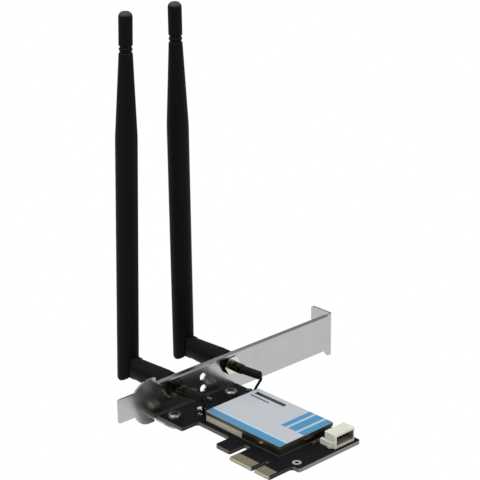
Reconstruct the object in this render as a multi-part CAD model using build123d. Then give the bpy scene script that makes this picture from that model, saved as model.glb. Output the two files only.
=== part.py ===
"""Wireless network card for a x1 expansion slot, with two swivelling aerials.

A black circuit board carries a shielded radio, a side-entry lead header and an edge connector.
A folded slot bracket is screwed to the board through two lugs and holds two coaxial sockets,
each with a thin lead to the board. A hinged aerial is screwed onto each socket.

Millimetres. Origin: the key notch of the edge connector, on the connector's lower edge and at
mid-thickness of the board. +X leads away from the slot bracket, +Y from the edge connector to
the bracket's screw tab, +Z up from the component side.
"""
import os
from math import cos, radians, tan

from build123d import *

# Circuit board: lengths along X start at the bracket's inner face, those along Y at the connector's edge
board_t = 1.6
board_gap = 0.3
key_from_bracket = 58.8
foot_reach = 15.5
foot_y = 2.8
recess_y = 11.1
tongue_width = 8.1
tongue_y = 3.3
tongue_gap = 3.5
shoulder_step = 1.2
shoulder_width = 3.7
front_strip = 2.5
back_strip = 2.6
end_strip = 11.8
corner_r = 1.0
inner_corner_r = 1.6

# Edge connector
key_width = 1.9
key_depth = 8.0
first_row_pads = 11
second_row_pads = 7
row_margin = 0.65
pad_pitch = 1.0
pad_width = 0.7
pad_length = 4.3
pad_margin = 0.55
plating = 0.06
edge_bevel = 0.4

# Slot bracket
sheet = 0.86
bend_r = 0.5
bend_land = 0.6
bracket_length = 120.02
tail_drop = 16.0
tail_width = 10.19
tail_length = 8.3
tail_rise = 2.7
tail_corner_r = 0.8
ear_length = 10.8
ear_rise = 1.5
ear_run = 7.0
flange_depth = 2.6
flange_end_gap = 5.0
tab_depth = 11.43
tab_drop = 5.3
tab_top_step = 0.75
tab_end_length = 5.0
tab_end_slant = 2.0
tab_corner_r = 1.0
notch_width = 4.42
notch_depth = 6.4
notch_from_web = 6.2
led_hole_d = 3.2
led_y = 27.9
led_low = 3.4
led_spacing = 5.2

# Lugs and the screws that hold the board on them
lug_width = 8.4
lug_reach = 10.6
lug_relief = 0.9
lug_heel_r = 0.77
lug_tip_r = 1.0
lug_a_y = 6.9
lug_b_y = 37.4
screw_from_bracket = 6.4
screw_d = 2.9
screw_head_d = 5.4
screw_head_h = 1.9
screw_head_round = 1.1
screw_drive_length = 3.2
screw_drive_width = 0.8
screw_drive_depth = 0.9
screw_hole_play = 0.2
thread_play = 0.04

# Radio shield: a frame, its lid and label, and what lies under them
can_start = 16.9
can_width = 42.4
can_length = 29.5
can_height = 4.1
can_wall = 0.3
can_corner_r = 0.7
frame_rim = 1.0
frame_draft_angle = 2.0
lid_wall = 0.3
lid_skirt = 1.3
lid_play = 0.06
lid_edge_r = 0.15
label_inset = 0.2
label_t = 0.12
radio_side = 9.0
radio_t = 0.9
radio_corner = 0.75
front_end_side = 3.2
front_end_t = 0.75
front_end_spacing = 15.0
crystal_width = 3.2
crystal_length = 2.5
crystal_t = 0.8
crystal_round = 0.4
memory_width = 6.0
memory_length = 5.0
memory_t = 0.9
chip_gap = 4.0

# Small parts soldered on the board
chip_cap_length = 2.0
chip_cap_width = 1.25
chip_cap_t = 0.9
cap_pitch = 2.6
shielded_cap_count = 7
near_caps = ((4.6, 27.1), (12.7, 15.0))
far_cap_count = 2
far_cap_gap = 1.7
ring_d = 3.6
ring_hole_d = 1.8
ring_wall = 0.12
ring_from_end = 4.2
ring_from_edge = 3.0

# Side-entry header for the second lead
header_from_end = 1.4
header_depth = 5.8
header_width = 10.8
header_height = 5.6
header_from_back = 1.8
header_wall = 0.8
header_floor = 1.1
header_back = 1.6
header_ledge = 1.8
foot_step = 0.5
foot_height = 2.2
foot_set_back = 1.2
tab_reach = 1.0
tab_width = 1.8
tab_t = 0.25
tab_set_back = 1.4
pin_count = 4
pin_pitch = 2.0
pin_side = 0.5
pin_height = 2.9
pin_below = 1.2
pin_hole_play = 0.25

# Coaxial sockets
sma_a_y = 12.3
sma_b_y = 42.65
sma_height = 9.65
thread_d = 6.35
barrel_length = 10.5
recess_depth = 1.9
insulator_d = 4.1
centre_pin_d = 0.9
centre_pin_set_back = 0.5
hex_step = 0.42
hex_room = 0.45
flange_t = 2.0
neck_d = 4.2
neck_length = 5.6
bulkhead_play = 0.08
washer_step = 1.3
washer_t = 0.6
washer_teeth = 10
nut_step = 0.795
nut_t = 2.2

# Leads from the sockets to the board
sleeve_d = 3.5
sleeve_length = 10.4
sleeve_rise = 0.75
sleeve_bevel = 0.25
lead_d = 1.1
lead_play = 0.05
plug_d = 2.7
plug_t = 1.1
plug_tail = 1.6
crimp_wall = 0.4
crimp_rise = 0.14
receptacle_side = 2.6
receptacle_t = 0.35
receptacle_ring_d = 1.9
plug_reach_a = 9.8
plug_offset_a = 5.4
plug_reach_b = 11.2
plug_offset_b = 0.6
lead_out = 0.5
lead_bulge = 1.0
lead_turn = 1.3
lead_drop = 2.5
lead_run = 0.9
lead_side = 0.6
neck_bend_r = 6.0

# Swivelling coupling of each aerial
coupling_gap = 0.3
coupling_side = 0.75
coupling_wall = 1.4
barrel_room = 0.6
collar_step = 0.4
collar_length = 4.0
grip_step = 0.05
grip_length = 1.7
grip_ribs = 24
grip_rib_depth = 0.12
skirt_play = 0.07
skirt_gap = 0.2
swivel_play = 0.05
swivel_end_play = 0.1
ferrule_d = 4.5
ferrule_bore_d = 3.0
ferrule_seat = 4.0
socket_d = 1.4
socket_play = 0.03

# Aerial base and its hinge
base_wall = 0.8
base_nose_d = 8.8
nose_wall = 5.6
base_nose_bevel = 0.6
base_root_bevel = 0.3
tongue_t = 4.4
tongue_r = 4.2
fork_play = 0.15
hinge_pin_d = 2.0
hinge_pin_play = 0.05
tine_below = 5.8
tine_play = 0.3

# Aerial blade
blade_d = 9.0
blade_length = 147.1
taper_length = 33.7
taper_blend_r = 70.0
foot_ease = 0.1
cap_d = 5.6
cap_length = 13.2
groove_d = 4.8
groove_length = 3.2
band_d = 5.4
band_length = 0.6
tip_r = 2.2
blade_bore_d = 4.0
bore_end_gap = 18.0
radiator_play = 0.05
radiator_sleeve = 40.0
radiator_rod_d = 1.4
radiator_start = 12.0
lean_angle_a = 2.15
lean_angle_b = 0.0

# Board places that follow from the sizes above
face_x = -key_from_bracket
outer_x = face_x - sheet
top = board_t / 2
bottom = -board_t / 2
first_row = first_row_pads * pad_pitch + row_margin
second_row = second_row_pads * pad_pitch + row_margin
row_start = -(key_width / 2 + first_row)
row_end = key_width / 2 + second_row
shoulder_y = recess_y + shoulder_step
can_x = face_x + can_start
can_y = recess_y + front_strip
can_top = top + can_height
board_end = max(can_x + can_width + end_strip, row_end + shoulder_width)
board_back = can_y + can_length + back_strip
ring_x = board_end - ring_from_end
ring_y = shoulder_y + ring_from_edge
header_y = board_back - header_from_back - header_width
screw_x = face_x + screw_from_bracket
lug_rows = (lug_a_y, lug_b_y)

# Socket and bracket places
sma_z = top + sma_height
hex_across = thread_d + 2 * hex_step
nut_across = thread_d + 2 * nut_step
washer_d = thread_d + 2 * washer_step
barrel_bore_d = ferrule_d + 2 * swivel_play
barrel_end = outer_x - barrel_length
neck_end = face_x + flange_t + neck_length
sleeve_end = neck_end + sleeve_length
tail_y = -tail_drop
tab_y = bracket_length - tail_drop
web_top = sma_z + hex_across / 2 + hex_room + bend_r + sheet
web_low = bottom - sheet
tab_top = web_top - tab_top_step
flange_start = tail_y + tail_length + ear_length
flange_end = tab_y - flange_end_gap

# Aerial places
coupling_d = thread_d + 2 * coupling_side
collar_d = coupling_d + 2 * collar_step
base_root_d = collar_d + 2 * base_wall
grip_d = base_root_d - 2 * grip_step
coupling_start = outer_x - washer_t - nut_t - coupling_gap
coupling_end = barrel_end - barrel_room - coupling_wall
collar_x = coupling_end + collar_length
base_start = coupling_start - grip_length - swivel_end_play
ferrule_end = coupling_end - ferrule_seat
nose_x = ferrule_end - nose_wall
hinge_x = nose_x - tine_below - tine_play
fork_slot = tongue_t + 2 * fork_play
groove_start = blade_length - cap_length - groove_length
taper_start = groove_start - taper_length
bore_end = sma_z + groove_start - bore_end_gap
sides = {"left": (sma_a_y, lean_angle_a), "right": (sma_b_y, lean_angle_b)}
plug_rows = {sma_a_y: (plug_reach_a, plug_offset_a), sma_b_y: (plug_reach_b, plug_offset_b)}


def block(x0, x1, y0, y1, z0, z1):
    """A box between two corners."""
    centre = Pos((x0 + x1) / 2, (y0 + y1) / 2, (z0 + z1) / 2)
    return centre * Box(x1 - x0, y1 - y0, z1 - z0)


def upright(d, x, y, z0, z1):
    """A cylinder along Z."""
    return Pos(x, y, (z0 + z1) / 2) * Cylinder(d / 2, z1 - z0)


def along_x(d, x0, x1, y, z):
    """A cylinder along X."""
    return Pos((x0 + x1) / 2, y, z) * Rot(0, 90, 0) * Cylinder(d / 2, x1 - x0)


def hexagon(across, x0, x1, y, z):
    """A hexagonal bar along X, with two of its flats level."""
    outline = RegularPolygon(across / 2, 6, major_radius=False)
    return extrude(Plane((x0, y, z), x_dir=(0, 1, 0), z_dir=(1, 0, 0)) * outline, x1 - x0)


def rim_share(d, count):
    """The length of one of several equal shares of a circle's rim."""
    return radians(360) * d / 2 / count


def turned(points, y, z):
    """A solid turned about the socket's axis, from points of distance along X and radius."""
    outline = make_face(Polyline(*[(x, r) for x, r in points], close=True))
    return Pos(0, y, z) * revolve(outline, Axis.X)


def rounded(outline, radii):
    """Rounds the corners of an outline that lie at the given points."""
    for point, radius in radii:
        corner = outline.vertices().sort_by_distance(Vector(*point))[0]
        outline = fillet(corner, radius)
    return outline


def bent_strip(plane, first, second, length):
    """A strip of sheet with one bend: a leg along the plane's y, a leg along its x."""
    outer = bend_r + sheet
    points = [(0, -first), (0, 0), (second, 0), (second, -sheet), (sheet, -sheet), (sheet, -first)]
    outline = make_face(Polyline(*points, close=True))
    outline = rounded(outline, [((0, 0), outer), ((sheet, -sheet), bend_r)])
    return extrude(plane * outline, length)


def slot_bracket():
    """The folded bracket: web, ear, tail, top flange, screw tab and two lugs under the board."""
    tail_low = top + tail_rise
    tail_high = tail_low + tail_width
    ear_y = tail_y + tail_length
    ear_top = web_top + ear_rise
    bend_z = web_top - sheet - bend_r - bend_land
    bend_y = tab_y - sheet - bend_r - bend_land
    end_y = tab_y - tab_end_length
    end_low = top - tab_drop
    upper_shoulder = TangentArc((ear_y + ear_run, ear_top), (ear_y, tail_high), tangent=(-1, 0))
    lower_shoulder = TangentArc((ear_y + ear_run, web_low), (ear_y, tail_low), tangent=(-1, 0))
    tail = Polyline((ear_y, tail_high), (tail_y, tail_high), (tail_y, tail_low), (ear_y, tail_low))
    rest = Polyline(
        (ear_y + ear_run, web_low), (end_y, web_low), (end_y + tab_end_slant, end_low), (bend_y, end_low),
        (bend_y, tab_top), (flange_end, tab_top), (flange_end, bend_z),
        (flange_start, bend_z), (flange_start, ear_top), (ear_y + ear_run, ear_top),
    )
    outline = make_face([tail, lower_shoulder, rest, upper_shoulder])
    outline = rounded(outline, [
        ((tail_y, tail_low), tail_corner_r), ((tail_y, tail_high), tail_corner_r),
        ((flange_start, ear_top), bend_r), ((end_y + tab_end_slant, end_low), bend_r),
    ])
    flat = Plane((outer_x, 0, 0), x_dir=(0, 1, 0), z_dir=(1, 0, 0))
    body = extrude(flat * outline, sheet)

    flange_length = flange_end - flange_start
    flange_plane = Plane((outer_x, flange_start, web_top), x_dir=(1, 0, 0), z_dir=(0, -1, 0))
    flange_strip = bent_strip(flange_plane, web_top - bend_z, flange_depth + sheet, -flange_length)

    tab_plane = Plane((face_x, tab_y, end_low), x_dir=(-1, 0, 0), z_dir=(0, 0, -1))
    tab_strip = bent_strip(tab_plane, tab_y - bend_y, tab_depth + sheet, -(tab_top - end_low))
    tab_edge = tab_strip.edges().filter_by(Axis.Y).group_by(Axis.X)[0]
    tab_strip = fillet(tab_edge, tab_corner_r)

    notch_x = outer_x - notch_from_web
    notch_end = end_low + notch_depth - notch_width / 2
    tab_strip -= block(notch_x - notch_width / 2, notch_x + notch_width / 2,
                       tab_y - 2 * sheet, tab_y + sheet, end_low - sheet, notch_end)
    tab_strip -= Pos(notch_x, tab_y, notch_end) * Rot(90, 0, 0) * Cylinder(notch_width / 2, 4 * sheet)

    relief_top = bottom + bend_r
    for y in lug_rows:
        low_y = y - lug_width / 2
        high_y = y + lug_width / 2
        body -= block(outer_x, face_x, low_y - lug_relief, high_y + lug_relief, web_low - sheet, relief_top)
        lug = block(outer_x, face_x, low_y, high_y, web_low, relief_top)
        lug += block(outer_x, face_x + lug_reach, low_y, high_y, web_low, bottom)
        heel = lug.edges().filter_by(Axis.Y).group_by(Axis.Z)[0].sort_by(Axis.X)[0]
        lug = fillet(heel, lug_heel_r)
        tips = lug.edges().filter_by(Axis.Z).group_by(Axis.X)[-1]
        lug = fillet(tips, lug_tip_r)
        lug -= upright(screw_d + 2 * thread_play, screw_x, y, web_low - sheet, bottom + sheet)
        body += lug

    body += flange_strip
    body += tab_strip
    for y, lean in sides.values():
        body -= along_x(thread_d + 2 * bulkhead_play, outer_x - sheet, face_x + sheet, y, sma_z)
    for step in range(2):
        z = top + led_low + step * led_spacing
        body -= along_x(led_hole_d, outer_x - sheet, face_x + sheet, led_y, z)
    return body


def circuit_board():
    """The board's outline with its edge connector, recess, tongue, holes and bevelled edge."""
    start = face_x + board_gap
    foot_x = face_x + foot_reach
    tongue_end = row_start - tongue_gap
    tongue_x = tongue_end - tongue_width
    points = [
        (start, foot_y), (foot_x, foot_y), (foot_x, recess_y), (tongue_x, recess_y),
        (tongue_x, tongue_y), (tongue_end, tongue_y), (tongue_end, recess_y), (row_start, recess_y),
        (row_start, 0), (-key_width / 2, 0), (-key_width / 2, key_depth), (key_width / 2, key_depth),
        (key_width / 2, 0), (row_end, 0), (row_end, shoulder_y), (board_end, shoulder_y),
        (board_end, board_back), (start, board_back),
    ]
    outline = make_face(Polyline(*points, close=True))
    outline = rounded(outline, [
        ((foot_x, foot_y), corner_r), ((foot_x, recess_y), inner_corner_r),
        ((tongue_x, recess_y), inner_corner_r), ((tongue_x, tongue_y), corner_r),
        ((tongue_end, tongue_y), corner_r), ((row_end, shoulder_y), inner_corner_r),
        ((board_end, shoulder_y), corner_r), ((board_end, board_back), corner_r),
    ])
    board = extrude(Plane((0, 0, bottom)) * outline, board_t)
    lead_in = board.edges().filter_by(Axis.X).filter_by_position(Axis.Y, -edge_bevel / 2, edge_bevel / 2)
    board = chamfer(lead_in, edge_bevel)

    for y in lug_rows:
        board -= upright(screw_d + 2 * screw_hole_play, screw_x, y, 2 * bottom, 2 * top)
    board -= upright(ring_hole_d, ring_x, ring_y, 2 * bottom, 2 * top)
    for x, y in header_pin_places():
        board -= upright(pin_side * 2 ** 0.5 + pin_hole_play, x, y, 2 * bottom, 2 * top)
    return board


def edge_contacts(side):
    """One face's row of plated pads, in two groups beside the key."""
    low = top if side == "top" else bottom - plating
    rows = (
        (-(key_width + first_row) / 2, first_row_pads),
        ((key_width + second_row) / 2, second_row_pads),
    )
    pads = []
    for centre, count in rows:
        for place in range(count):
            x = centre + (place - (count - 1) / 2) * pad_pitch - pad_width / 2
            pads.append(block(x, x + pad_width, pad_margin, pad_margin + pad_length, low, low + plating))
    return Compound(pads)


def bracket_screws():
    """Two pan-head screws, through the board into the lugs."""
    screws = []
    for y in lug_rows:
        head = upright(screw_head_d, screw_x, y, top, top + screw_head_h)
        rim = head.edges().filter_by(GeomType.CIRCLE).group_by(Axis.Z)[-1]
        head = fillet(rim, screw_head_round)
        for turn in (0, 90):
            drive = Rot(0, 0, turn) * Box(screw_drive_length, screw_drive_width, 2 * screw_drive_depth)
            head -= Pos(screw_x, y, top + screw_head_h) * drive
        screws.append(head + upright(screw_d, screw_x, y, web_low, top))
    return Compound(screws)


def shield_block(inset, corner_r, z0, z1):
    """A block with round corners, set back all round from the shield's outside."""
    body = block(can_x + inset, can_x + can_width - inset, can_y + inset, can_y + can_length - inset, z0, z1)
    return fillet(body.edges().filter_by(Axis.Z), corner_r)


def shield_frame():
    """The drawn frame round the radio: sloping walls on the board, with a rim turned inwards at the top."""
    outside = lid_wall + lid_play
    inside = outside + can_wall
    crown = can_top - lid_wall
    x, y = can_centre()
    foot_inset = outside - (crown - top) * tan(radians(frame_draft_angle))
    foot = RectangleRounded(can_width - 2 * foot_inset, can_length - 2 * foot_inset, can_corner_r)
    walls = extrude(Plane((x, y, top)) * foot, crown - top, taper=frame_draft_angle)
    walls -= shield_block(inside, can_corner_r, top, crown - can_wall)
    return walls - shield_block(inside + frame_rim, can_corner_r, top, crown)


def shield_lid():
    """The lid that snaps over the frame, with a short skirt."""
    lid = shield_block(0, can_corner_r, can_top - lid_skirt, can_top)
    lid = fillet(lid.faces().sort_by(Axis.Z)[-1].edges(), lid_edge_r)
    return lid - shield_block(lid_wall, can_corner_r - lid_wall, can_top - lid_skirt, can_top - lid_wall)


def shield_label():
    """The printed label that covers the lid."""
    return shield_block(label_inset, can_corner_r, can_top, can_top + label_t)


def can_centre():
    """The middle of the space under the can."""
    return can_x + can_width / 2, can_y + can_length / 2


def radio_chip():
    """The radio's square flat package, with one corner cut for orientation."""
    x, y = can_centre()
    half = radio_side / 2
    chip = block(x - half, x + half, y - half, y + half, top, top + radio_t)
    return chamfer(chip.edges().filter_by(Axis.Z).sort_by(Axis.X)[0], radio_corner)


def front_end_chips():
    """Two amplifier packages between the radio and the lead sockets."""
    x, y = can_centre()
    x0 = x - radio_side / 2 - chip_gap - front_end_side
    x1 = x0 + front_end_side
    chips = []
    for step in (-0.5, 0.5):
        y0 = y + step * front_end_spacing - front_end_side / 2
        chips.append(block(x0, x1, y0, y0 + front_end_side, top, top + front_end_t))
    return Compound(chips)


def crystal():
    """The clock crystal beside the radio."""
    x, y = can_centre()
    x0 = x + radio_side / 2 + chip_gap
    y0 = y - crystal_length / 2
    can = block(x0, x0 + crystal_width, y0, y0 + crystal_length, top, top + crystal_t)
    return fillet(can.edges().filter_by(Axis.Z), crystal_round)


def memory_chip():
    """The settings memory, behind the radio."""
    x, y = can_centre()
    x0 = x - memory_width / 2
    y0 = y - radio_side / 2 - chip_gap - memory_length / 2
    return block(x0, x0 + memory_width, y0, y0 + memory_length, top, top + memory_t)


def chip_capacitor(x, y, turn):
    """One surface-mount capacitor."""
    place = Pos(x, y, top + chip_cap_t / 2) * Rot(0, 0, turn)
    return place * Box(chip_cap_length, chip_cap_width, chip_cap_t)


def shielded_capacitors():
    """A row of capacitors beside the radio, under the can."""
    x, y = can_centre()
    row_y = y + radio_side / 2 + chip_gap
    start = x - cap_pitch * (shielded_cap_count - 1) / 2
    row_x = [start + step * cap_pitch for step in range(shielded_cap_count)]
    return Compound([chip_capacitor(place, row_y, 90) for place in row_x])


def board_capacitors():
    """Open capacitors: a few by the bracket, a few between the can and the header."""
    far_x = can_x + can_width + far_cap_gap
    parts = [chip_capacitor(face_x + reach, y, 0) for reach, y in near_caps]
    parts += [chip_capacitor(far_x, header_y - step * cap_pitch, 90) for step in range(far_cap_count)]
    return Compound(parts)


def hole_ring():
    """The plated ring of the board's tooling hole: a sleeve with a rim on each face."""
    ring = upright(ring_hole_d, ring_x, ring_y, bottom, top)
    ring += upright(ring_d, ring_x, ring_y, top, top + plating)
    ring += upright(ring_d, ring_x, ring_y, bottom - plating, bottom)
    return ring - upright(ring_hole_d - 2 * ring_wall, ring_x, ring_y, 2 * bottom, 2 * top)


def header_box():
    """The header housing's limits along X and Y."""
    x1 = board_end - header_from_end
    return x1 - header_depth, x1, header_y, header_y + header_width


def header_pin_places():
    """Where the header's pins go through the board."""
    x0, x1, y0, y1 = header_box()
    middle = (y0 + y1) / 2
    x = x0 - header_ledge / 2
    return [(x, middle + (place - (pin_count - 1) / 2) * pin_pitch) for place in range(pin_count)]


def usb_header():
    """The side-entry housing: an open-mouthed box between two low feet that reach out behind it."""
    x0, x1, y0, y1 = header_box()
    ceiling = top + header_height
    body = block(x0, x1, y0, y1, top, ceiling)
    body = fillet(body.edges().filter_by(Axis.Z), header_wall / 2)
    for low, high in ((y0 - foot_step, y0 + header_wall), (y1 - header_wall, y1 + foot_step)):
        body += block(x0 - header_ledge, x1 - foot_set_back, low, high, top, top + foot_height)
    body -= block(x0 + header_back, x1 + header_wall, y0 + header_wall, y1 - header_wall,
                  top + header_floor, ceiling - header_wall)
    for x, y in header_pin_places():
        body -= block(x0 - header_wall, x1, y - pin_side / 2, y + pin_side / 2,
                      top + pin_height - pin_side / 2, top + pin_height + pin_side / 2)
    return body


def header_tabs():
    """Two solder tabs that hold the header's feet on the board."""
    x0, x1, y0, y1 = header_box()
    end = x1 - tab_set_back
    tabs = []
    for low in (y0 - foot_step - tab_reach, y1 + foot_step):
        tabs.append(block(end - tab_width, end, low, low + tab_reach, top, top + tab_t))
    return Compound(tabs)


def header_pins():
    """Square pins, each bent from the housing's mouth down through the board."""
    x0, x1, y0, y1 = header_box()
    half = pin_side / 2
    crown = top + pin_height + half
    pins = []
    for x, y in header_pin_places():
        level = block(x - half, x1 - header_wall, y - half, y + half, crown - pin_side, crown)
        drop = block(x - half, x + half, y - half, y + half, bottom - pin_below, crown)
        bend = (level + drop).edges().filter_by(Axis.Y).group_by(Axis.Z)[-1].sort_by(Axis.X)[0]
        pins.append(fillet(bend, half))
    return Compound(pins)


def sma_jack(y):
    """A bulkhead socket: hexagonal flange, threaded barrel outside, crimped neck inside."""
    body = turned([
        (barrel_end, 0), (barrel_end, thread_d / 2), (face_x, thread_d / 2),
        (face_x, neck_d / 2), (neck_end, neck_d / 2), (neck_end, 0),
    ], y, sma_z)
    body += hexagon(hex_across, face_x, face_x + flange_t, y, sma_z)
    body -= along_x(barrel_bore_d, barrel_end, barrel_end + recess_depth, y, sma_z)
    body -= along_x(insulator_d, barrel_end, face_x, y, sma_z)
    return body - along_x(lead_d + 2 * lead_play, face_x, neck_end, y, sma_z)


def sma_insulator(y):
    """The plastic bush that centres the socket's pin."""
    bush = along_x(insulator_d, barrel_end + recess_depth, face_x, y, sma_z)
    return bush - along_x(centre_pin_d, barrel_end, face_x, y, sma_z)


def sma_pin(y):
    """The socket's centre pin."""
    return along_x(centre_pin_d, barrel_end + centre_pin_set_back, face_x, y, sma_z)


def lock_washer(y):
    """A toothed washer under the socket's nut."""
    washer = along_x(washer_d, outer_x - washer_t, outer_x, y, sma_z)
    washer -= along_x(thread_d + 2 * bulkhead_play, outer_x - washer_t, outer_x, y, sma_z)
    gap = rim_share(washer_d, washer_teeth) / 2
    for tooth in range(washer_teeth):
        turn = Rot(360 * tooth / washer_teeth, 0, 0) * Pos(0, washer_d / 2, 0)
        washer -= Pos(outer_x - washer_t / 2, y, sma_z) * turn * Box(3 * washer_t, gap, gap)
    return washer


def sma_nut(y):
    """The hexagonal nut that clamps the bracket."""
    x1 = outer_x - washer_t
    nut = hexagon(nut_across, x1 - nut_t, x1, y, sma_z)
    return nut - along_x(thread_d + 2 * thread_play, x1 - nut_t, x1, y, sma_z)


def strain_sleeve(y):
    """The shrunk sleeve over the start of the lead, which lifts a little towards its end."""
    start = Vector(neck_end, y, sma_z)
    along = Vector(sleeve_length, 0, sleeve_rise)
    end = Plane(origin=start + along, z_dir=along)
    sleeve = extrude(end * Circle(sleeve_d / 2), -2 * sleeve_length)
    rim = sleeve.edges().filter_by(GeomType.CIRCLE).sort_by(Axis.X)[-1]
    sleeve = chamfer(rim, sleeve_bevel)
    sleeve -= extrude(end * Circle(lead_d / 2 + lead_play), -2 * sleeve_length)
    return sleeve - block(neck_end - 2 * sleeve_length, neck_end, y - sleeve_d, y + sleeve_d,
                          sma_z - 2 * sleeve_d, sma_z + 2 * sleeve_d)


def plug_place(y):
    """The middle of the board plug that ends a lead."""
    reach, offset = plug_rows[y]
    return face_x + reach, y + offset


def lead_route(y):
    """The lead's points: through the sleeve, round its end, down to the board and flat into the plug."""
    px, py = plug_place(y)
    flat = top + receptacle_t + plug_t - lead_d / 2
    plug_end = px + plug_d / 2
    entry = plug_end + plug_tail
    out_z = sma_z + sleeve_rise * (1 + lead_out / sleeve_length)
    return [
        (face_x + flange_t, y, sma_z), (neck_end, y, sma_z), (sleeve_end + lead_out, y, out_z),
        (sleeve_end + lead_bulge, y, out_z - lead_turn),
        (entry + lead_run, y + lead_side * (py - y), flat + lead_drop),
        (entry, py, flat), (plug_end, py, flat),
    ]


def bend_radii(points):
    """A radius for each inner point: as large as its two runs allow, but small where the neck ends."""
    radii = []
    for before, here, after in zip(points, points[1:], points[2:]):
        into = Vector(*here) - Vector(*before)
        out = Vector(*after) - Vector(*here)
        half_turn = radians(into.get_angle(out)) / 2
        radii.append(0.45 * min(into.length, out.length) / tan(half_turn))
    radii[0] = min(radii[0], neck_bend_r)
    return radii


def lead(y):
    """The thin coaxial lead from the socket to the board."""
    points = lead_route(y)
    radii = bend_radii(points)
    path = FilletPolyline(*points, radius=radii)
    section = Plane(origin=points[0], z_dir=path % 0) * Circle(lead_d / 2)
    tube = sweep(section, path)
    share = tube.volume / (section.area * path.length)
    print("lead length %.1f, volume share %.3f" % (path.length, share), [round(r, 2) for r in radii])
    return tube


def board_receptacle(y):
    """The socket soldered on the board: a square base with a ring."""
    px, py = plug_place(y)
    half = receptacle_side / 2
    base = block(px - half, px + half, py - half, py + half, top, top + receptacle_t)
    ring = upright(receptacle_ring_d, px, py, top, top + receptacle_t + plug_t / 2)
    return base + ring


def board_plug(y):
    """The snap-on plug: a round cap over the receptacle's ring, with a crimped tail round the lead."""
    px, py = plug_place(y)
    low = top + receptacle_t
    cap = upright(plug_d, px, py, low, low + plug_t)
    flat = low + plug_t - lead_d / 2
    half = lead_d / 2 + crimp_wall
    tail = block(px, px + (plug_d + plug_tail) / 2, py - half, py + half, low, low + plug_t + crimp_rise)
    plug = cap + tail
    plug -= upright(receptacle_ring_d, px, py, low, low + plug_t / 2)
    return plug - along_x(lead_d + 2 * lead_play, px + plug_d / 2, px + plug_d + plug_tail, py, flat)


def coupling_nut(y):
    """The threaded nut of the aerial, with a collar that keeps it in the base."""
    nut = turned([
        (coupling_start, 0), (coupling_start, coupling_d / 2), (collar_x, coupling_d / 2),
        (collar_x, collar_d / 2), (coupling_end, collar_d / 2), (coupling_end, 0),
    ], y, sma_z)
    nut -= along_x(thread_d + 2 * thread_play, coupling_end + coupling_wall, coupling_start, y, sma_z)
    return nut - along_x(ferrule_d + 2 * swivel_play, coupling_end, coupling_start, y, sma_z)


def coupling_grip(y):
    """The ribbed grip pressed on the coupling nut, with a skirt over the socket's nut."""
    x0 = coupling_start - grip_length
    x1 = outer_x - washer_t - skirt_gap
    skirt_bore_d = nut_across / cos(radians(30)) + 2 * skirt_play
    grip = along_x(grip_d, x0, x1, y, sma_z)
    grip -= along_x(coupling_d, x0, coupling_start, y, sma_z)
    grip -= along_x(skirt_bore_d, coupling_start, x1, y, sma_z)
    for rib in range(grip_ribs):
        groove = Rot(360 * rib / grip_ribs, 0, 0) * Pos((x0 + x1) / 2, grip_d / 2, 0)
        cut = Box(2 * (x1 - x0), 2 * grip_rib_depth, rim_share(grip_d, grip_ribs) / 2)
        grip -= Pos(0, y, sma_z) * groove * cut
    return grip


def across_hinge(r, length, y):
    """A cylinder on the hinge's axis, across the aerial."""
    return Pos(hinge_x, y, sma_z) * Rot(90, 0, 0) * Cylinder(r, length)


def antenna_base(y):
    """The base: a tapered arm round the coupling, ending in the hinge's tongue."""
    arm = turned([
        (nose_x, 0), (nose_x, base_nose_d / 2 - base_nose_bevel),
        (nose_x + base_nose_bevel, base_nose_d / 2),
        (base_start - base_root_bevel, base_root_d / 2), (base_start, base_root_d / 2 - base_root_bevel),
        (base_start, 0),
    ], y, sma_z)
    knuckle = across_hinge(tongue_r, tongue_t, y)
    knuckle += block(hinge_x, nose_x + base_nose_bevel, y - tongue_t / 2, y + tongue_t / 2,
                     sma_z - tongue_r, sma_z + tongue_r)
    arm += knuckle

    arm -= along_x(coupling_d + 2 * swivel_play, collar_x, base_start, y, sma_z)
    arm -= along_x(collar_d + 2 * swivel_play, coupling_end - swivel_end_play,
                   collar_x + swivel_end_play, y, sma_z)
    arm -= along_x(ferrule_d, ferrule_end, coupling_end, y, sma_z)
    return arm - across_hinge(hinge_pin_d / 2 + hinge_pin_play, 2 * blade_d, y)


def plug_ferrule(y):
    """The aerial plug's outer contact, from the socket's recess into the base."""
    x1 = barrel_end + recess_depth - swivel_end_play
    tube = along_x(ferrule_d, ferrule_end, x1, y, sma_z)
    return tube - along_x(ferrule_bore_d, ferrule_end, x1, y, sma_z)


def plug_insulator(y):
    """The plastic bush inside the ferrule."""
    x1 = barrel_end + recess_depth - 2 * swivel_end_play
    bush = along_x(ferrule_bore_d, ferrule_end, x1, y, sma_z)
    return bush - along_x(socket_d, ferrule_end, x1, y, sma_z)


def plug_contact(y):
    """The centre contact, a tube that slides over the socket's pin."""
    x1 = barrel_end + recess_depth - 2 * swivel_end_play
    contact = along_x(socket_d, ferrule_end, x1, y, sma_z)
    return contact - along_x(centre_pin_d + 2 * socket_play, barrel_end - recess_depth, x1, y, sma_z)


def hinge_pin(y):
    """The pin through the tines and the tongue."""
    length = 2 * ((blade_d / 2) ** 2 - (hinge_pin_d / 2) ** 2) ** 0.5
    return across_hinge(hinge_pin_d / 2, length, y)


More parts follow.
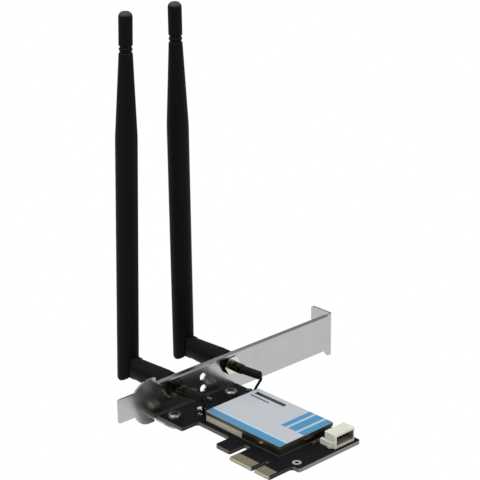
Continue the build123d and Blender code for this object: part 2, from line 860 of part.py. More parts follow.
def antenna_blade(y):
    """The blade: a round rod that tapers to a grooved cap, with a fork at its foot."""
    band_start = groove_start + (groove_length - band_length) / 2
    points = [
        (0, -tine_below), (blade_d / 2, -tine_below), (blade_d / 2, taper_start), (cap_d / 2, groove_start),
        (groove_d / 2, groove_start), (groove_d / 2, band_start), (band_d / 2, band_start),
        (band_d / 2, band_start + band_length), (groove_d / 2, band_start + band_length),
        (groove_d / 2, groove_start + groove_length), (cap_d / 2, groove_start + groove_length),
        (cap_d / 2, blade_length), (0, blade_length),
    ]
    outline = make_face(Polyline(*points, close=True))
    outline = rounded(outline, [
        ((cap_d / 2, blade_length), tip_r), ((blade_d / 2, taper_start), taper_blend_r),
    ])
    blade = Pos(hinge_x, y, sma_z) * revolve(Plane.XZ * outline, Axis.Z)

    foot_r = blade_d / 2 + foot_ease
    foot_z = sma_z - tine_below + foot_r
    foot_waste = block(hinge_x - blade_d, hinge_x + blade_d, y - blade_d, y + blade_d,
                       sma_z - 2 * tine_below, foot_z)
    foot_waste -= Pos(hinge_x, y, foot_z) * Rot(90, 0, 0) * Cylinder(foot_r, 3 * blade_d)
    blade -= foot_waste

    crotch = tongue_r + fork_play
    slot = across_hinge(crotch, fork_slot, y)
    slot += block(hinge_x - blade_d, hinge_x + blade_d, y - fork_slot / 2, y + fork_slot / 2,
                  sma_z - 2 * tine_below, sma_z)
    slot += block(hinge_x, hinge_x + blade_d, y - fork_slot / 2, y + fork_slot / 2, sma_z, sma_z + crotch)
    blade -= slot
    blade -= across_hinge(hinge_pin_d / 2, 2 * blade_d, y)
    return blade - upright(blade_bore_d, hinge_x, y, sma_z, bore_end)


def radiator(y):
    """The radiating element in the blade: a tube, then a rod."""
    start = sma_z + radiator_start
    tube = upright(blade_bore_d - 2 * radiator_play, hinge_x, y, start, start + radiator_sleeve)
    return tube + upright(radiator_rod_d, hinge_x, y, start, bore_end)


def leaning(solid, y, lean):
    """Turns a piece of an aerial about its socket's axis, towards the bracket's tab."""
    return solid.rotate(Axis((0, y, sma_z), (1, 0, 0)), -lean)


fixed = {
    "circuit_board": circuit_board(),
    "edge_contacts_top": edge_contacts("top"),
    "edge_contacts_bottom": edge_contacts("bottom"),
    "slot_bracket": slot_bracket(),
    "bracket_screws": bracket_screws(),
    "shield_frame": shield_frame(),
    "shield_lid": shield_lid(),
    "shield_label": shield_label(),
    "radio_chip": radio_chip(),
    "front_end_chips": front_end_chips(),
    "crystal": crystal(),
    "memory_chip": memory_chip(),
    "shielded_capacitors": shielded_capacitors(),
    "board_capacitors": board_capacitors(),
    "hole_ring": hole_ring(),
    "usb_header": usb_header(),
    "header_tabs": header_tabs(),
    "header_pins": header_pins(),
}
on_the_card = (sma_jack, sma_insulator, sma_pin, lock_washer, sma_nut, strain_sleeve, lead,
               board_receptacle, board_plug, coupling_nut, coupling_grip)
on_the_aerial = (antenna_base, plug_ferrule, plug_insulator, plug_contact,
                 hinge_pin, antenna_blade, radiator)

nodes = dict(fixed)
for side, (row_y, lean) in sides.items():
    for make in on_the_card:
        nodes["%s_%s" % (make.__name__, side)] = make(row_y)
    for make in on_the_aerial:
        nodes["%s_%s" % (make.__name__, side)] = leaning(make(row_y), row_y, lean)

os.makedirs("parts", exist_ok=True)
for name, solid in nodes.items():
    export_step(solid, "parts/%s.step" % name)
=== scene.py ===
"""Looks of the wireless card: finishes, print, solder and the metal ends of its capacitors."""
from itertools import product
from math import cos, pi, radians, sin

import bpy
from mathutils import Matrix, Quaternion, Vector


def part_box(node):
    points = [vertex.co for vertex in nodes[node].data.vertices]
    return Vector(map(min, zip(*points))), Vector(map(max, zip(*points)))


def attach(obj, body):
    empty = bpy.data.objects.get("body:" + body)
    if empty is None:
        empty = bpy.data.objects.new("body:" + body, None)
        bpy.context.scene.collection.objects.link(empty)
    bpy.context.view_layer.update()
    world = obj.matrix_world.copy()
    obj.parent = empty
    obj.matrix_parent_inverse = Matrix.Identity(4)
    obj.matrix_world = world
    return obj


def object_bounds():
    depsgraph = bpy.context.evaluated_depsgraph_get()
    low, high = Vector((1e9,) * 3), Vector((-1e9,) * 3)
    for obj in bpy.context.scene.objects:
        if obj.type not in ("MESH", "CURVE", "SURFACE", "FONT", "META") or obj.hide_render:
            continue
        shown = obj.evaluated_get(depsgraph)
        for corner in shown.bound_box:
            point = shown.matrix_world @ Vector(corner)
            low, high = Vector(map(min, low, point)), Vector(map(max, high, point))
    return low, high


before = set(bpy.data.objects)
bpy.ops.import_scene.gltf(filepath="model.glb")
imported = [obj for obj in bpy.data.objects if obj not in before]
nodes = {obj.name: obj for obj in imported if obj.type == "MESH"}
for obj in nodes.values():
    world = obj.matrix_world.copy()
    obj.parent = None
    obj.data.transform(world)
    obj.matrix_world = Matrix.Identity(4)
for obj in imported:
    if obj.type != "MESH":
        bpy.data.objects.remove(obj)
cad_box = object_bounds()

MM = 0.001
SIDES = ("left", "right")

# Camera, as fitted to the photograph
CAMERA_PLACE = (371.175 * MM, -347.238 * MM, 279.096 * MM)
CAMERA_AZIMUTH = -42.69
CAMERA_ELEVATION = 20.25
CAMERA_ROLL = -0.69
CAMERA_LENS = 115.56
SENSOR = 36.0

# Stage and light, where a stop of the sky is a height and its light
FLOOR_DROP = 0.20
FLOOR_SIZE = 80.0
FLOOR_GREY = 0.8
SKY_STOPS = ((0.0, 0.14), (0.405, 0.14), (0.455, 0.70), (0.85, 0.95))
LAMP_SIZE = 1.2
KEY_PLACE = (-0.2, -1.0, 1.3)
KEY_POWER = 15.0
FILL_PLACE = (1.3, 0.6, 0.9)
FILL_POWER = 8.0
# A grey card that puts painted shade into the bracket's reflections, standing for the shadow under the
# board
SHADE_EDGE = ((-58.8 * MM, -3.8 * MM), (-20.0 * MM, 18.3 * MM))
SHADE_BACK = 24.0 * MM

# Solder and chip parts
CAP_END_SHARE = 0.24
CAP_END_RISE = 0.02 * MM
SEAM_WIDTH = 0.22 * MM
SEAM_HEIGHT = 0.12 * MM
SEAM_CORNER = 0.9 * MM
SEAM_STEP = 15
CONE_RADIUS = 0.85 * MM
CONE_TOP_RADIUS = 0.38 * MM
CONE_HEIGHT = 0.75 * MM
CONE_STEPS = 20

# Places on the socket, the shield, the aerial, the board and the header where the colour changes
NECK_LENGTH = 5.6 * MM
SEAT_MARGIN = 0.3 * MM
SATIN_RUN = 21.0 * MM
CAP_LENGTH = 17.0 * MM
BOARD_END = 0.5 * MM
BOARD_RIM = 0.4 * MM
CONNECTOR_EDGE = 0.45 * MM
MOUTH_DEPTH = 4.3 * MM
MOUTH_FRONT = 0.05 * MM
MOUTH_SIDE = 1.25 * MM
MOUTH_LIP = 0.75 * MM
FAR = 1.0

# Share of an axis from which a face counts as turned that way
TURNED = 0.5
SEAT_TURNED = 0.6
RING_LEVEL = 0.7
BOARD_LEVEL = 0.9

# Print on the label, as shares of its width and depth
STRIPE_END = 0.13
BORDER_END = 0.16
BARS_START = 0.45
BARS = ((0.70, 0.76), (0.79, 0.89), (0.92, 1.0))
LINES_START = 0.05
LINES = ((0.85, 0.92, 0.45), (0.775, 0.80, 0.30))

# Grain of moulded plastic and coatings
GRAIN_STRENGTH = 0.12
GRAIN_DEPTH = 0.05 * MM

scene = bpy.context.scene
scene.view_settings.view_transform = "Standard"


# Material helpers

class Finish:
    """A material under construction: its principled shader and a few node shortcuts."""

    def __init__(self, name, colour, roughness, metallic=0.0, specular=0.5):
        self.material = bpy.data.materials.new(name)
        self.material.use_nodes = True
        self.tree = self.material.node_tree
        self.shader = self.tree.nodes["Principled BSDF"]
        self.shader.inputs["Base Color"].default_value = (*colour, 1.0)
        self.shader.inputs["Roughness"].default_value = roughness
        self.shader.inputs["Metallic"].default_value = metallic
        self.shader.inputs["Specular IOR Level"].default_value = specular
        self.place = self.node("ShaderNodeTexCoord").outputs["Object"]

    def node(self, kind, **settings):
        made = self.tree.nodes.new(kind)
        for key, value in settings.items():
            setattr(made, key, value)
        return made

    def link(self, out, into):
        self.tree.links.new(out, into)

    def feed(self, socket, value):
        """Sets a socket to a number or joins it to another socket."""
        if isinstance(value, bpy.types.NodeSocket):
            self.link(value, socket)
        else:
            socket.default_value = value

    def stretched(self, scale):
        """The place on the object, scaled differently along each axis."""
        mapping = self.node("ShaderNodeMapping")
        self.link(self.place, mapping.inputs["Vector"])
        mapping.inputs["Scale"].default_value = scale
        return mapping.outputs["Vector"]

    def noise(self, scale, detail=3.0, place=None):
        made = self.node("ShaderNodeTexNoise")
        self.link(place or self.place, made.inputs["Vector"])
        made.inputs["Scale"].default_value = scale
        made.inputs["Detail"].default_value = detail
        return made.outputs["Fac"]

    def axis(self, name, source=None):
        """One coordinate of the place on the object, in metres, or of another vector."""
        split = self.node("ShaderNodeSeparateXYZ")
        self.link(source or self.place, split.inputs["Vector"])
        return split.outputs[name]

    def facing(self, name):
        """One coordinate of the surface's own direction."""
        return self.axis(name, self.node("ShaderNodeTexCoord").outputs["Normal"])

    def maths(self, operation, first, second=0.0):
        made = self.node("ShaderNodeMath", operation=operation)
        self.feed(made.inputs[0], first)
        self.feed(made.inputs[1], second)
        return made.outputs["Value"]

    def within(self, value, low, high):
        """One between two limits, and nought outside them."""
        above = self.maths("GREATER_THAN", value, low)
        below = self.maths("LESS_THAN", value, high)
        return self.maths("MULTIPLY", above, below)

    def ranged(self, value, low, high, start=0.0, end=1.0):
        """A number that goes from low to high as the value goes from start to end."""
        made = self.node("ShaderNodeMapRange")
        self.link(value, made.inputs["Value"])
        made.inputs["From Min"].default_value = start
        made.inputs["From Max"].default_value = end
        made.inputs["To Min"].default_value = low
        made.inputs["To Max"].default_value = high
        return made.outputs["Result"]

    def mixed(self, share, first, second):
        """A colour between two colours."""
        made = self.node("ShaderNodeMix", data_type="RGBA")
        self.feed(made.inputs["Factor"], share)
        for socket, colour in ((made.inputs[6], first), (made.inputs[7], second)):
            self.feed(socket, colour if isinstance(colour, bpy.types.NodeSocket) else (*colour, 1.0))
        return made.outputs[2]

    def colour(self, value):
        self.link(value, self.shader.inputs["Base Color"])

    def roughness(self, value):
        self.link(value, self.shader.inputs["Roughness"])

    def bump(self, height, strength, distance):
        made = self.node("ShaderNodeBump")
        made.inputs["Strength"].default_value = strength
        made.inputs["Distance"].default_value = distance
        self.link(height, made.inputs["Height"])
        self.link(made.outputs["Normal"], self.shader.inputs["Normal"])


# Materials

def moulded(name, dark, light, roughness, grain, specular=0.5, metallic=0.0):
    """Moulded or coated surface: a fine grain, and a slow drift of colour and gloss."""
    look = Finish(name, dark, roughness, metallic, specular)
    slow = look.noise(90.0)
    look.colour(look.mixed(slow, dark, light))
    look.roughness(look.ranged(slow, roughness - 0.06, roughness + 0.06))
    look.bump(look.noise(grain, 2.0), GRAIN_STRENGTH, GRAIN_DEPTH)
    return look.material


def aerial_finish():
    """Black moulded plastic with painted light: a little greyer where it faces up, and a painted
    highlight on the rounded top of the aerial's cap.
    """
    cap_start = min(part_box("antenna_blade_" + side)[1].z for side in SIDES) - CAP_LENGTH
    look = Finish("aerial_plastic", (0.004, 0.004, 0.0043), 0.5, specular=0.06)
    slow = look.noise(90.0)
    black = look.mixed(slow, (0.003, 0.003, 0.0033), (0.0044, 0.0044, 0.0047))
    rise = look.facing("Z")
    # Painted light: surfaces that face up are made greyer, and the cap's rounded top gets a painted
    # highlight
    painted_top_light = look.ranged(rise, 0.0, 1.0, 0.45, 1.0)
    painted_dome_highlight = look.ranged(rise, 0.0, 1.0, 0.15, 0.6)
    painted_dome_highlight = look.maths("MULTIPLY", painted_dome_highlight, look.maths("GREATER_THAN", look.axis("Z"), cap_start))
    body = look.mixed(painted_top_light, black, (0.009, 0.0095, 0.010))
    look.colour(look.mixed(painted_dome_highlight, body, (0.06, 0.06, 0.062)))
    look.roughness(look.ranged(slow, 0.46, 0.58))
    look.bump(look.noise(3800.0, 2.0), GRAIN_STRENGTH, GRAIN_DEPTH)
    return look.material


def plated(name, dark, light, roughness, metallic=1.0):
    """Plated metal: soft stains and a fine grain."""
    look = Finish(name, light, roughness, metallic)
    stain = look.noise(160.0, 4.0)
    grain = look.noise(2600.0, 2.0)
    look.colour(look.mixed(stain, dark, light))
    look.roughness(look.ranged(grain, roughness - 0.05, roughness + 0.05))
    look.bump(grain, 0.05, 0.02 * MM)
    return look.material


def steel_finish():
    """Plated sheet, lightly brushed along its length."""
    look = Finish("bracket_plate", (0.47, 0.48, 0.47), 0.22, metallic=1.0)
    look.colour(look.mixed(look.noise(160.0, 4.0), (0.44, 0.45, 0.445), (0.50, 0.51, 0.50)))
    look.shader.inputs["Anisotropic"].default_value = 0.4
    look.shader.inputs["Anisotropic Rotation"].default_value = 0.25
    lengthwise = look.node("ShaderNodeTangent", direction_type="RADIAL", axis="Z")
    look.link(lengthwise.outputs["Tangent"], look.shader.inputs["Tangent"])
    return look.material


def frame_finish():
    """Tinned sheet: bright, with a satin stretch on the front wall beside the board's recess."""
    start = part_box("shield_frame")[0].x
    look = Finish("shield_tin", (0.4, 0.38, 0.3), 0.18, metallic=1.0)
    stain = look.noise(420.0, 4.0)
    bright = look.mixed(stain, (0.34, 0.32, 0.25), (0.46, 0.44, 0.34))
    satin = look.mixed(stain, (0.44, 0.41, 0.33), (0.55, 0.525, 0.44))
    front = look.maths("LESS_THAN", look.facing("Y"), -TURNED)
    patch = look.maths("MULTIPLY", front, look.within(look.axis("X"), start - MM, start + SATIN_RUN))
    look.colour(look.mixed(patch, bright, satin))
    look.roughness(look.ranged(patch, 0.18, 0.5))
    look.link(look.ranged(patch, 1.0, 0.25), look.shader.inputs["Metallic"])
    return look.material


def board_finish():
    """Black solder mask over faint traces, with grey fibre edges, paler at the connector, and painted
    light on the edges: lighter where they face +X and at the far end, darker elsewhere.
    """
    low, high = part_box("circuit_board")
    look = Finish("board_mask", (0.008, 0.009, 0.012), 0.5, specular=0.05)
    bricks = look.node("ShaderNodeTexBrick", offset=0.37, squash=0.6, squash_frequency=3)
    look.link(look.stretched((420.0, 420.0, 420.0)), bricks.inputs["Vector"])
    bricks.inputs["Color1"].default_value = (0, 0, 0, 1)
    bricks.inputs["Color2"].default_value = (0, 0, 0, 1)
    bricks.inputs["Mortar"].default_value = (1, 1, 1, 1)
    bricks.inputs["Scale"].default_value = 1.0
    bricks.inputs["Mortar Size"].default_value = 0.05
    bricks.inputs["Mortar Smooth"].default_value = 0.3
    trace = bricks.outputs["Color"]
    mask = look.mixed(trace, (0.003, 0.0037, 0.0045), (0.006, 0.0075, 0.010))
    weave = look.noise(1.0, 2.0, look.stretched((900.0, 900.0, 9000.0)))
    # Painted light: fibre edges that face +X and the far end are painted lighter, as lit, the other
    # edges darker, as shaded
    lit_end_fibre = look.mixed(weave, (0.16, 0.16, 0.152), (0.32, 0.32, 0.305))
    lit_side_fibre = look.mixed(weave, (0.06, 0.06, 0.056), (0.16, 0.16, 0.15))
    shaded_side_fibre = look.mixed(weave, (0.02, 0.02, 0.018), (0.06, 0.06, 0.055))
    fibre = look.mixed(look.maths("GREATER_THAN", look.facing("X"), TURNED), lit_side_fibre, shaded_side_fibre)
    along = look.axis("X")
    fibre = look.mixed(look.within(along, high.x - BOARD_END, FAR), fibre, lit_end_fibre)
    mask = look.mixed(look.within(along, -FAR, low.x + BOARD_RIM), mask, (0.10, 0.10, 0.095))
    connector = look.within(look.axis("Y"), -FAR, CONNECTOR_EDGE)
    fibre = look.mixed(connector, fibre, (0.36, 0.34, 0.25))
    level = look.maths("ABSOLUTE", look.facing("Z"))
    flat = look.maths("GREATER_THAN", level, BOARD_LEVEL)
    look.colour(look.mixed(flat, fibre, mask))
    look.roughness(look.ranged(flat, 0.7, 0.5))
    look.bump(trace, 0.15, 0.03 * MM)
    return look.material


def label_finish():
    """Printed film: a pale field, a stripe along one edge with a painted sheen that shifts its blue
    along the length, bars at the far end and two dark lines.
    """
    low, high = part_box("shield_label")
    width = high.x - low.x
    depth = high.y - low.y
    paper = (0.44, 0.47, 0.50)
    pale = (0.40, 0.58, 0.72)
    painted_sheen_blue = (0.08, 0.215, 0.39)
    blue = (0.035, 0.235, 0.44)
    ink = (0.02, 0.02, 0.025)
    look = Finish("label_print", paper, 0.34)
    x = look.axis("X")
    y = look.axis("Y")
    mottle = look.noise(300.0, 4.0)
    field = look.mixed(mottle, (0.405, 0.435, 0.465), (0.475, 0.505, 0.535))
    # Painted sheen: the stripe's printed blue shifts from one end of the label to the other
    stripe_with_painted_sheen = look.mixed(look.ranged(x, 0.0, 1.0, low.x, high.x), painted_sheen_blue, blue)
    stripe = look.within(y, low.y, low.y + STRIPE_END * depth)
    border = look.within(y, low.y + STRIPE_END * depth, low.y + BORDER_END * depth)
    print_colour = look.mixed(border, field, pale)
    print_colour = look.mixed(stripe, print_colour, stripe_with_painted_sheen)
    upper = look.within(y, low.y + BARS_START * depth, high.y)
    for start, end in BARS:
        bar = look.within(x, low.x + start * width, low.x + end * width)
        print_colour = look.mixed(look.maths("MULTIPLY", bar, upper), print_colour, blue)
    for near, far, end in LINES:
        line = look.within(y, low.y + near * depth, low.y + far * depth)
        run = look.within(x, low.x + LINES_START * width, low.x + end * width)
        print_colour = look.mixed(look.maths("MULTIPLY", line, run), print_colour, ink)
    side = look.maths("LESS_THAN", look.facing("Z"), TURNED)
    look.colour(look.mixed(side, print_colour, paper))
    look.roughness(look.ranged(mottle, 0.28, 0.4))
    look.bump(look.noise(900.0, 2.0), 0.03, 0.02 * MM)
    return look.material


def socket_finish(side, dark, light):
    """Plated socket with painted light: a painted reflection makes the hexagon's inner face pale, and
    the rest is painted dark, with stains.
    """
    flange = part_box("sma_jack_" + side)[1].x - NECK_LENGTH
    look = Finish("socket_plating_" + side, (0.1, 0.09, 0.06), 0.22, metallic=1.0)
    stain = look.noise(700.0, 4.0)
    # Painted reflection on the hexagon's inner face; painted dark, with stains, elsewhere
    pale = look.mixed(stain, dark, light)
    blotch = look.ranged(stain, 0.0, 1.0, 0.35, 0.7)
    dull = look.mixed(blotch, (0.006, 0.0055, 0.003), (0.075, 0.068, 0.04))
    face = look.maths("GREATER_THAN", look.facing("X"), SEAT_TURNED)
    seat = look.within(look.axis("X"), flange - SEAT_MARGIN, flange + SEAT_MARGIN)
    look.colour(look.mixed(look.maths("MULTIPLY", face, seat), dull, pale))
    look.roughness(look.ranged(stain, 0.16, 0.34))
    return look.material


def ring_finish():
    """Tinned ring: bright on its flat rims, with painted shade making it dull in the hole."""
    look = Finish("hole_tin", (0.5, 0.5, 0.49), 0.3, metallic=1.0)
    stain = look.noise(900.0, 3.0)
    rim = look.mixed(stain, (0.5, 0.5, 0.49), (0.75, 0.75, 0.73))
    flat = look.maths("GREATER_THAN", look.maths("ABSOLUTE", look.facing("Z")), RING_LEVEL)
    # Painted shade: the hole's wall is painted dark
    look.colour(look.mixed(flat, (0.10, 0.10, 0.095), rim))
    look.roughness(look.ranged(stain, 0.24, 0.4))
    return look.material


def cap_end_finish():
    """Ends of the capacitors: bright beside the bracket, browner beside the header."""
    look = Finish("capacitor_tin", (0.5, 0.5, 0.48), 0.35, metallic=1.0)
    stain = look.noise(900.0, 3.0)
    bright = look.mixed(stain, (0.5, 0.5, 0.49), (0.7, 0.7, 0.68))
    brown = look.mixed(stain, (0.22, 0.18, 0.13), (0.38, 0.32, 0.24))
    far = look.maths("GREATER_THAN", look.axis("X"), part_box("shield_frame")[1].x)
    look.colour(look.mixed(far, bright, brown))
    return look.material


def header_finish():
    """Cream nylon, with painted shade in the mouth, where it is dull and olive."""
    low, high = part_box("usb_header")
    look = Finish("header_nylon", (0.62, 0.61, 0.54), 0.45, specular=0.3)
    slow = look.noise(140.0)
    cream = look.mixed(slow, (0.56, 0.555, 0.475), (0.68, 0.675, 0.585))
    # Painted shade: the colour is made dull and olive within the header's mouth
    painted_mouth_shade = look.within(look.axis("X"), high.x - MOUTH_DEPTH, high.x - MOUTH_FRONT)
    for axis, margin in (("Y", MOUTH_SIDE), ("Z", MOUTH_LIP)):
        start = getattr(low, axis.lower()) + margin
        end = getattr(high, axis.lower()) - margin
        painted_mouth_shade = look.maths("MULTIPLY", painted_mouth_shade, look.within(look.axis(axis), start, end))
    look.colour(look.mixed(painted_mouth_shade, cream, (0.22, 0.21, 0.14)))
    look.roughness(look.ranged(slow, 0.39, 0.51))
    look.bump(look.noise(3000.0, 2.0), GRAIN_STRENGTH, GRAIN_DEPTH)
    return look.material


CAP_END = cap_end_finish()
SCREW = plated("screw_plate", (0.20, 0.20, 0.17), (0.36, 0.36, 0.32), 0.36)
CRYSTAL = plated("crystal_plate", (0.5, 0.5, 0.48), (0.64, 0.64, 0.62), 0.25)
GOLD = plated("contact_plating", (0.28, 0.255, 0.155), (0.36, 0.33, 0.215), 0.32, 0.6)
BRASS = plated("socket_plating", (0.42, 0.38, 0.26), (0.60, 0.55, 0.40), 0.22)
DARK_METAL = plated("dark_plating", (0.06, 0.058, 0.05), (0.11, 0.105, 0.09), 0.34)
SOLDER = plated("solder", (0.50, 0.50, 0.49), (0.64, 0.64, 0.62), 0.24)
# Tin painted dark as shade, for the header's pins in its mouth and the seam at the shield's foot
SHADED_TIN = plated("shaded_tin", (0.04, 0.04, 0.037), (0.10, 0.10, 0.093), 0.45)
PLUG = plated("plug_plating", (0.55, 0.55, 0.53), (0.75, 0.75, 0.73), 0.22)
AERIAL = aerial_finish()
COATING = moulded("lid_coating", (0.06, 0.054, 0.042), (0.10, 0.09, 0.07), 0.32, 3200.0, 0.30, 0.6)
CHIP = moulded("chip_plastic", (0.012, 0.012, 0.012), (0.02, 0.02, 0.02), 0.55, 5000.0)
BUSH = moulded("bush_plastic", (0.72, 0.72, 0.70), (0.80, 0.80, 0.78), 0.4, 3000.0)
CERAMIC = moulded("capacitor_ceramic", (0.05, 0.036, 0.022), (0.09, 0.065, 0.042), 0.5, 6000.0, 0.3)
JACKET = moulded("lead_jacket", (0.004, 0.004, 0.004), (0.007, 0.007, 0.007), 0.42, 4200.0, 0.1)

finishes = {
    "circuit_board": board_finish(), "edge_contacts_top": GOLD, "edge_contacts_bottom": GOLD,
    "slot_bracket": steel_finish(), "bracket_screws": SCREW, "shield_frame": frame_finish(),
    "shield_lid": COATING, "shield_label": label_finish(), "radio_chip": CHIP, "front_end_chips": CHIP,
    "crystal": CRYSTAL, "memory_chip": CHIP, "shielded_capacitors": CERAMIC, "board_capacitors": CERAMIC,
    "hole_ring": ring_finish(), "usb_header": header_finish(), "header_tabs": SOLDER,
    # Painted shade: the header's pins use the darkened tin
    "header_pins": SHADED_TIN,
}
sided_finishes = {
    "sma_insulator": BUSH, "sma_pin": GOLD, "lock_washer": DARK_METAL,
    "sma_nut": DARK_METAL, "strain_sleeve": JACKET, "lead": JACKET, "board_receptacle": DARK_METAL,
    "board_plug": DARK_METAL, "coupling_nut": BRASS, "coupling_grip": AERIAL, "antenna_base": AERIAL,
    "plug_ferrule": BRASS, "plug_insulator": BUSH, "plug_contact": GOLD, "hinge_pin": AERIAL,
    "antenna_blade": AERIAL, "radiator": BRASS,
}
for side in SIDES:
    for name, material in sided_finishes.items():
        finishes["%s_%s" % (name, side)] = material
finishes["board_plug_left"] = PLUG
# The right socket's hexagon gets a bright painted reflection and the left a dim one: lit and shaded
# copies of one plating
finishes["sma_jack_left"] = socket_finish("left", (0.03, 0.027, 0.015), (0.16, 0.145, 0.09))
finishes["sma_jack_right"] = socket_finish("right", (0.58, 0.565, 0.48), (0.80, 0.785, 0.70))
for name, material in finishes.items():
    nodes[name].data.materials.clear()
    nodes[name].data.materials.append(material)


# Solder and the metal ends of the chip parts

def add_piece(name, points, faces, material):
    """A small piece on the card, made from points and faces."""
    mesh = bpy.data.meshes.new(name)
    mesh.from_pydata(points, [], faces)
    mesh.materials.append(material)
    piece = bpy.data.objects.new(name, mesh)
    scene.collection.objects.link(piece)
    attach(piece, "card")


def islands(name):
    """The limits of each loose part of a node."""
    mesh = nodes[name].data
    group = list(range(len(mesh.vertices)))

    def root(index):
        while group[index] != index:
            index = group[index]
        return index

    for edge in mesh.edges:
        first, second = (root(index) for index in edge.vertices)
        group[first] = second
    parts = {}
    for vertex in mesh.vertices:
        parts.setdefault(root(vertex.index), []).append(vertex.co)
    limits = []
    for points in parts.values():
        low = Vector([min(point[axis] for point in points) for axis in range(3)])
        high = Vector([max(point[axis] for point in points) for axis in range(3)])
        limits.append((low, high))
    return limits


def box_faces(start):
    """The six faces of a box whose eight points start at a number."""
    sides = ((0, 1, 3, 2), (4, 6, 7, 5), (0, 4, 5, 1), (2, 3, 7, 6), (0, 2, 6, 4), (1, 5, 7, 3))
    return [tuple(start + corner for corner in side) for side in sides]


def capacitor_ends(name):
    """Tinned caps over both ends of each capacitor."""
    points = []
    faces = []
    for low, high in islands(name):
        size = high - low
        long_axis = 0 if size.x > size.y else 1
        for at_end in (False, True):
            start = low - Vector((CAP_END_RISE, CAP_END_RISE, 0))
            end = high + Vector((CAP_END_RISE, CAP_END_RISE, CAP_END_RISE))
            if at_end:
                start[long_axis] = high[long_axis] - CAP_END_SHARE * size[long_axis]
            else:
                end[long_axis] = low[long_axis] + CAP_END_SHARE * size[long_axis]
            faces += box_faces(len(points))
            points += product((start.x, end.x), (start.y, end.y), (start.z, end.z))
    add_piece(name + "_ends", points, faces, CAP_END)


def round_rectangle(low, high, radius, step):
    """Points round a rectangle with round corners."""
    corners = ((high.x, high.y, 0), (low.x, high.y, 90), (low.x, low.y, 180), (high.x, low.y, 270))
    points = []
    for x, y, start in corners:
        centre_x = x - radius if x == high.x else x + radius
        centre_y = y - radius if y == high.y else y + radius
        for turn in range(0, 91, step):
            angle = radians(start + turn)
            points.append((centre_x + radius * cos(angle), centre_y + radius * sin(angle)))
    return points


def shield_seam():
    """The solder seam between the shield's frame and the board."""
    low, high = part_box("shield_frame")
    spread = Vector((SEAM_WIDTH, SEAM_WIDTH, 0))
    inner = round_rectangle(low, high, SEAM_CORNER, SEAM_STEP)
    outer = round_rectangle(low - spread, high + spread, SEAM_CORNER + SEAM_WIDTH, SEAM_STEP)
    count = len(inner)
    points = [(x, y, low.z + SEAM_HEIGHT) for x, y in inner]
    points += [(x, y, low.z) for x, y in outer]
    points += [(x, y, low.z) for x, y in inner]
    faces = []
    for ring in range(3):
        for here in range(count):
            after = (here + 1) % count
            this = ring * count
            other = (ring + 1) % 3 * count
            faces.append((this + here, other + here, other + after, this + after))
    # Painted shade: the seam uses the darkened tin
    add_piece("shield_seam", points, faces, SHADED_TIN)


def pin_solder():
    """Solder cones round the header's pins, under the board."""
    board_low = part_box("circuit_board")[0].z
    points = []
    faces = []
    for low, high in islands("header_pins"):
        centre_x = low.x + (high.y - low.y) / 2
        centre_y = (low.y + high.y) / 2
        start = len(points)
        for radius, z in ((CONE_RADIUS, board_low), (CONE_TOP_RADIUS, board_low - CONE_HEIGHT)):
            for step in range(CONE_STEPS):
                angle = 2 * pi * step / CONE_STEPS
                points.append((centre_x + radius * cos(angle), centre_y + radius * sin(angle), z))
        tip = start + CONE_STEPS
        for step in range(CONE_STEPS):
            after = (step + 1) % CONE_STEPS
            faces.append((start + step, start + after, tip + after, tip + step))
        faces.append(tuple(start + step for step in reversed(range(CONE_STEPS))))
        faces.append(tuple(tip + step for step in range(CONE_STEPS)))
    add_piece("pin_solder", points, faces, SOLDER)


capacitor_ends("board_capacitors")
capacitor_ends("shielded_capacitors")
shield_seam()
pin_solder()


# Stage, light and camera

def add_stage(name, corners, level, material):
    """A flat, level piece of the studio."""
    mesh = bpy.data.meshes.new(name)
    mesh.from_pydata([(x, y, level) for x, y in corners], [], [tuple(range(len(corners)))])
    mesh.materials.append(material)
    piece = bpy.data.objects.new(name, mesh)
    scene.collection.objects.link(piece)
    return piece


def make_shade():
    """A grey card under the board's corner that stands for the shade beneath the board, as a painted
    shadow in the nearby metal's reflections. Only reflections show it.
    """
    (near_x, near_y), (far_x, far_y) = SHADE_EDGE
    corners = ((near_x, near_y), (far_x, far_y), (far_x, SHADE_BACK), (near_x, SHADE_BACK))
    grey = Finish("shade_grey", (0.45, 0.45, 0.44), 0.9, specular=0.0).material
    shade = add_stage("shade_card", corners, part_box("slot_bracket")[0].z, grey)
    shade.visible_camera = False
    shade.visible_diffuse = False
    shade.visible_shadow = False


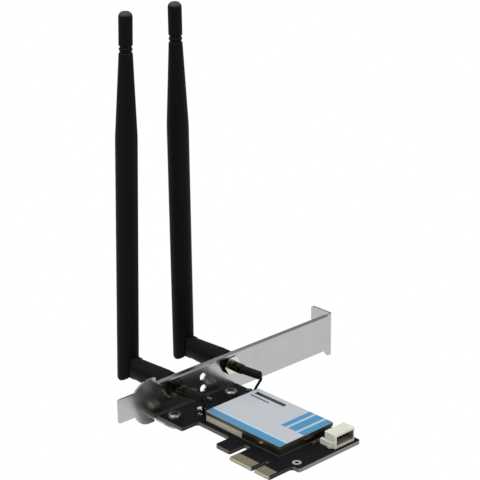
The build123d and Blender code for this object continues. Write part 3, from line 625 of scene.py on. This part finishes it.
def make_floor():
    """A wide pale floor that the camera and reflections see as white, and that is clear from below."""
    material = bpy.data.materials.new("floor_white")
    material.use_nodes = True
    tree = material.node_tree
    tree.nodes.clear()
    path = tree.nodes.new("ShaderNodeLightPath")
    seen = tree.nodes.new("ShaderNodeMath")
    seen.operation = "MAXIMUM"
    seen_too = tree.nodes.new("ShaderNodeMath")
    seen_too.operation = "MAXIMUM"
    diffuse = tree.nodes.new("ShaderNodeBsdfDiffuse")
    diffuse.inputs["Color"].default_value = (FLOOR_GREY, FLOOR_GREY, FLOOR_GREY, 1.0)
    white = tree.nodes.new("ShaderNodeEmission")
    mix = tree.nodes.new("ShaderNodeMixShader")
    under = tree.nodes.new("ShaderNodeNewGeometry").outputs["Backfacing"]
    clear = tree.nodes.new("ShaderNodeBsdfTransparent")
    sides = tree.nodes.new("ShaderNodeMixShader")
    out = tree.nodes.new("ShaderNodeOutputMaterial")
    for source, target in (
        (path.outputs["Is Camera Ray"], seen.inputs[0]), (path.outputs["Is Glossy Ray"], seen.inputs[1]),
        (seen.outputs[0], seen_too.inputs[0]), (path.outputs["Is Transmission Ray"], seen_too.inputs[1]),
        (seen_too.outputs[0], mix.inputs["Fac"]), (diffuse.outputs[0], mix.inputs[1]),
        (white.outputs[0], mix.inputs[2]), (under, sides.inputs["Fac"]),
        (mix.outputs[0], sides.inputs[1]), (clear.outputs[0], sides.inputs[2]),
        (sides.outputs[0], out.inputs[0]),
    ):
        tree.links.new(source, target)
    half = FLOOR_SIZE / 2
    corners = ((-half, -half), (half, -half), (half, half), (-half, half))
    add_stage("floor", corners, -FLOOR_DROP, material)


def make_lamp(name, place, power):
    """A square soft lamp that points at the middle of the object."""
    lamp = bpy.data.lights.new(name, "AREA")
    lamp.shape = "SQUARE"
    lamp.size = LAMP_SIZE
    lamp.energy = power
    holder = bpy.data.objects.new(name, lamp)
    holder.location = place
    middle = Vector(cad_box[0]).lerp(Vector(cad_box[1]), 0.5)
    holder.rotation_euler = (holder.location - middle).to_track_quat("Z", "Y").to_euler()
    scene.collection.objects.link(holder)


def make_world():
    """A studio's walls and ceiling: dim at the horizon, bright overhead, and white to the camera."""
    world = bpy.data.worlds.new("studio")
    scene.world = world
    world.use_nodes = True
    tree = world.node_tree
    ground = tree.nodes["Background"]
    split = tree.nodes.new("ShaderNodeSeparateXYZ")
    rise = tree.nodes.new("ShaderNodeValToRGB")
    stops = rise.color_ramp.elements
    for index, (height, light) in enumerate(SKY_STOPS):
        stop = stops[index] if index < len(stops) else stops.new(height)
        stop.position = height
        stop.color = (light, light, light, 1.0)
    tree.links.new(tree.nodes.new("ShaderNodeTexCoord").outputs["Generated"], split.inputs["Vector"])
    tree.links.new(split.outputs["Z"], rise.inputs["Fac"])
    tree.links.new(rise.outputs["Color"], ground.inputs["Color"])
    white = tree.nodes.new("ShaderNodeBackground")
    white.inputs["Color"].default_value = (1.0, 1.0, 1.0, 1.0)
    mix = tree.nodes.new("ShaderNodeMixShader")
    tree.links.new(tree.nodes.new("ShaderNodeLightPath").outputs["Is Camera Ray"], mix.inputs["Fac"])
    tree.links.new(ground.outputs[0], mix.inputs[1])
    tree.links.new(white.outputs[0], mix.inputs[2])
    tree.links.new(mix.outputs[0], tree.nodes["World Output"].inputs["Surface"])


def make_camera():
    """The photograph's camera."""
    lens = bpy.data.cameras.new("camera")
    lens.lens = CAMERA_LENS
    lens.sensor_width = SENSOR
    holder = bpy.data.objects.new("camera", lens)
    azimuth = radians(CAMERA_AZIMUTH)
    elevation = radians(CAMERA_ELEVATION)
    back = Vector((cos(elevation) * cos(azimuth), cos(elevation) * sin(azimuth), sin(elevation)))
    turn = back.to_track_quat("Z", "Y") @ Quaternion((0, 0, 1), radians(CAMERA_ROLL))
    holder.location = CAMERA_PLACE
    holder.rotation_euler = turn.to_euler()
    scene.collection.objects.link(holder)
    scene.camera = holder


make_floor()
make_shade()
make_world()
make_lamp("key_lamp", KEY_PLACE, KEY_POWER)
make_lamp("fill_lamp", FILL_PLACE, FILL_POWER)
make_camera()
